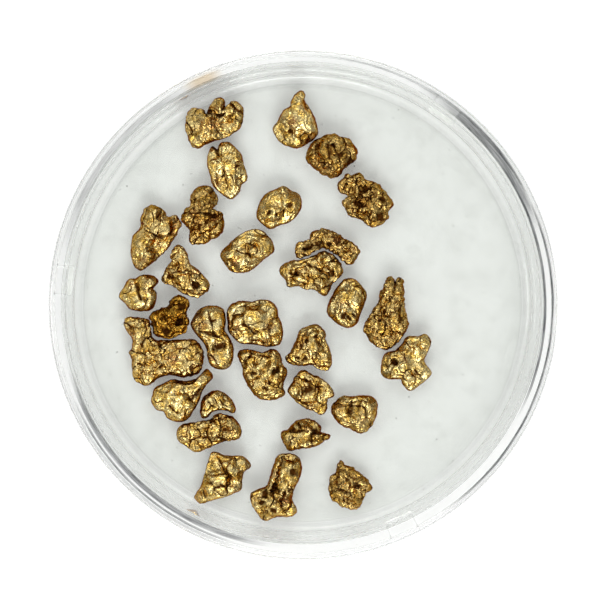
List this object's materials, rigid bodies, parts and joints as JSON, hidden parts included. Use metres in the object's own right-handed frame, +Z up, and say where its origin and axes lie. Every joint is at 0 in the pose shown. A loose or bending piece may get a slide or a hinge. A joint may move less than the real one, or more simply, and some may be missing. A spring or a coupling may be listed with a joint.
{
  "type": "lidded sample dish with gold nuggets",
  "caption": "Round shallow clear sample dish with a loose vented lid, holding loose natural gold nuggets on its floor for display and storage.",
  "frame": {"origin": "on the lid's axis, at the level that the dish stands on", "axes": "+Z up through the lid, +Y towards the far side of the dish as seen from the front"},
  "size_m": [0.094, 0.094, 0.016],
  "materials": {
    "base_plastic": "clear moulded polystyrene, polished, with a trace of haze and fine dust",
    "lid_plastic": "clear moulded polystyrene, polished, with a trace of haze and fine dust",
    "natural_gold": null
  },
  "bodies": {
    "dish_base": {"dish_base": "base_plastic"},
    "dish_lid": {"dish_lid": "lid_plastic"},
    "nugget_01": {"nugget_01": "natural_gold"},
    "nugget_02": {"nugget_02": "natural_gold"},
    "nugget_03": {"nugget_03": "natural_gold"},
    "nugget_04": {"nugget_04": "natural_gold"},
    "nugget_05": {"nugget_05": "natural_gold"},
    "nugget_06": {"nugget_06": "natural_gold"},
    "nugget_07": {"nugget_07": "natural_gold"},
    "nugget_08": {"nugget_08": "natural_gold"},
    "nugget_09": {"nugget_09": "natural_gold"},
    "nugget_10": {"nugget_10": "natural_gold"},
    "nugget_11": {"nugget_11": "natural_gold"},
    "nugget_12": {"nugget_12": "natural_gold"},
    "nugget_13": {"nugget_13": "natural_gold"},
    "nugget_14": {"nugget_14": "natural_gold"},
    "nugget_15": {"nugget_15": "natural_gold"},
    "nugget_16": {"nugget_16": "natural_gold"},
    "nugget_17": {"nugget_17": "natural_gold"},
    "nugget_18": {"nugget_18": "natural_gold"},
    "nugget_19": {"nugget_19": "natural_gold"},
    "nugget_20": {"nugget_20": "natural_gold"},
    "nugget_21": {"nugget_21": "natural_gold"},
    "nugget_22": {"nugget_22": "natural_gold"},
    "nugget_23": {"nugget_23": "natural_gold"},
    "nugget_24": {"nugget_24": "natural_gold"},
    "nugget_25": {"nugget_25": "natural_gold"},
    "nugget_26": {"nugget_26": "natural_gold"},
    "nugget_27": {"nugget_27": "natural_gold"},
    "nugget_28": {"nugget_28": "natural_gold"},
    "nugget_29": {"nugget_29": "natural_gold"},
    "nugget_30": {"nugget_30": "natural_gold"},
    "nugget_31": {"nugget_31": "natural_gold"}
  },
  "joints": [
    {"name": "lid_lift", "type": "slide", "parent": "dish_base", "child": "dish_lid", "axis": [0, 0, 1], "range_m": [0, 0.03]},
    {"name": "nugget_01_lift", "type": "slide", "parent": "dish_base", "child": "nugget_01", "axis": [0, 0, 1], "range_m": [0, 0.008]},
    {"name": "nugget_02_lift", "type": "slide", "parent": "dish_base", "child": "nugget_02", "axis": [0, 0, 1], "range_m": [0, 0.008]},
    {"name": "nugget_03_lift", "type": "slide", "parent": "dish_base", "child": "nugget_03", "axis": [0, 0, 1], "range_m": [0, 0.008]},
    {"name": "nugget_04_lift", "type": "slide", "parent": "dish_base", "child": "nugget_04", "axis": [0, 0, 1], "range_m": [0, 0.008]},
    {"name": "nugget_05_lift", "type": "slide", "parent": "dish_base", "child": "nugget_05", "axis": [0, 0, 1], "range_m": [0, 0.008]},
    {"name": "nugget_06_lift", "type": "slide", "parent": "dish_base", "child": "nugget_06", "axis": [0, 0, 1], "range_m": [0, 0.008]},
    {"name": "nugget_07_lift", "type": "slide", "parent": "dish_base", "child": "nugget_07", "axis": [0, 0, 1], "range_m": [0, 0.008]},
    {"name": "nugget_08_lift", "type": "slide", "parent": "dish_base", "child": "nugget_08", "axis": [0, 0, 1], "range_m": [0, 0.008]},
    {"name": "nugget_09_lift", "type": "slide", "parent": "dish_base", "child": "nugget_09", "axis": [0, 0, 1], "range_m": [0, 0.008]},
    {"name": "nugget_10_lift", "type": "slide", "parent": "dish_base", "child": "nugget_10", "axis": [0, 0, 1], "range_m": [0, 0.008]},
    {"name": "nugget_11_lift", "type": "slide", "parent": "dish_base", "child": "nugget_11", "axis": [0, 0, 1], "range_m": [0, 0.008]},
    {"name": "nugget_12_lift", "type": "slide", "parent": "dish_base", "child": "nugget_12", "axis": [0, 0, 1], "range_m": [0, 0.008]},
    {"name": "nugget_13_lift", "type": "slide", "parent": "dish_base", "child": "nugget_13", "axis": [0, 0, 1], "range_m": [0, 0.008]},
    {"name": "nugget_14_lift", "type": "slide", "parent": "dish_base", "child": "nugget_14", "axis": [0, 0, 1], "range_m": [0, 0.008]},
    {"name": "nugget_15_lift", "type": "slide", "parent": "dish_base", "child": "nugget_15", "axis": [0, 0, 1], "range_m": [0, 0.008]},
    {"name": "nugget_16_lift", "type": "slide", "parent": "dish_base", "child": "nugget_16", "axis": [0, 0, 1], "range_m": [0, 0.008]},
    {"name": "nugget_17_lift", "type": "slide", "parent": "dish_base", "child": "nugget_17", "axis": [0, 0, 1], "range_m": [0, 0.008]},
    {"name": "nugget_18_lift", "type": "slide", "parent": "dish_base", "child": "nugget_18", "axis": [0, 0, 1], "range_m": [0, 0.008]},
    {"name": "nugget_19_lift", "type": "slide", "parent": "dish_base", "child": "nugget_19", "axis": [0, 0, 1], "range_m": [0, 0.008]},
    {"name": "nugget_20_lift", "type": "slide", "parent": "dish_base", "child": "nugget_20", "axis": [0, 0, 1], "range_m": [0, 0.008]},
    {"name": "nugget_21_lift", "type": "slide", "parent": "dish_base", "child": "nugget_21", "axis": [0, 0, 1], "range_m": [0, 0.008]},
    {"name": "nugget_22_lift", "type": "slide", "parent": "dish_base", "child": "nugget_22", "axis": [0, 0, 1], "range_m": [0, 0.008]},
    {"name": "nugget_23_lift", "type": "slide", "parent": "dish_base", "child": "nugget_23", "axis": [0, 0, 1], "range_m": [0, 0.008]},
    {"name": "nugget_24_lift", "type": "slide", "parent": "dish_base", "child": "nugget_24", "axis": [0, 0, 1], "range_m": [0, 0.008]},
    {"name": "nugget_25_lift", "type": "slide", "parent": "dish_base", "child": "nugget_25", "axis": [0, 0, 1], "range_m": [0, 0.008]},
    {"name": "nugget_26_lift", "type": "slide", "parent": "dish_base", "child": "nugget_26", "axis": [0, 0, 1], "range_m": [0, 0.008]},
    {"name": "nugget_27_lift", "type": "slide", "parent": "dish_base", "child": "nugget_27", "axis": [0, 0, 1], "range_m": [0, 0.008]},
    {"name": "nugget_28_lift", "type": "slide", "parent": "dish_base", "child": "nugget_28", "axis": [0, 0, 1], "range_m": [0, 0.008]},
    {"name": "nugget_29_lift", "type": "slide", "parent": "dish_base", "child": "nugget_29", "axis": [0, 0, 1], "range_m": [0, 0.008]},
    {"name": "nugget_30_lift", "type": "slide", "parent": "dish_base", "child": "nugget_30", "axis": [0, 0, 1], "range_m": [0, 0.008]},
    {"name": "nugget_31_lift", "type": "slide", "parent": "dish_base", "child": "nugget_31", "axis": [0, 0, 1], "range_m": [0, 0.008]}
  ]
}
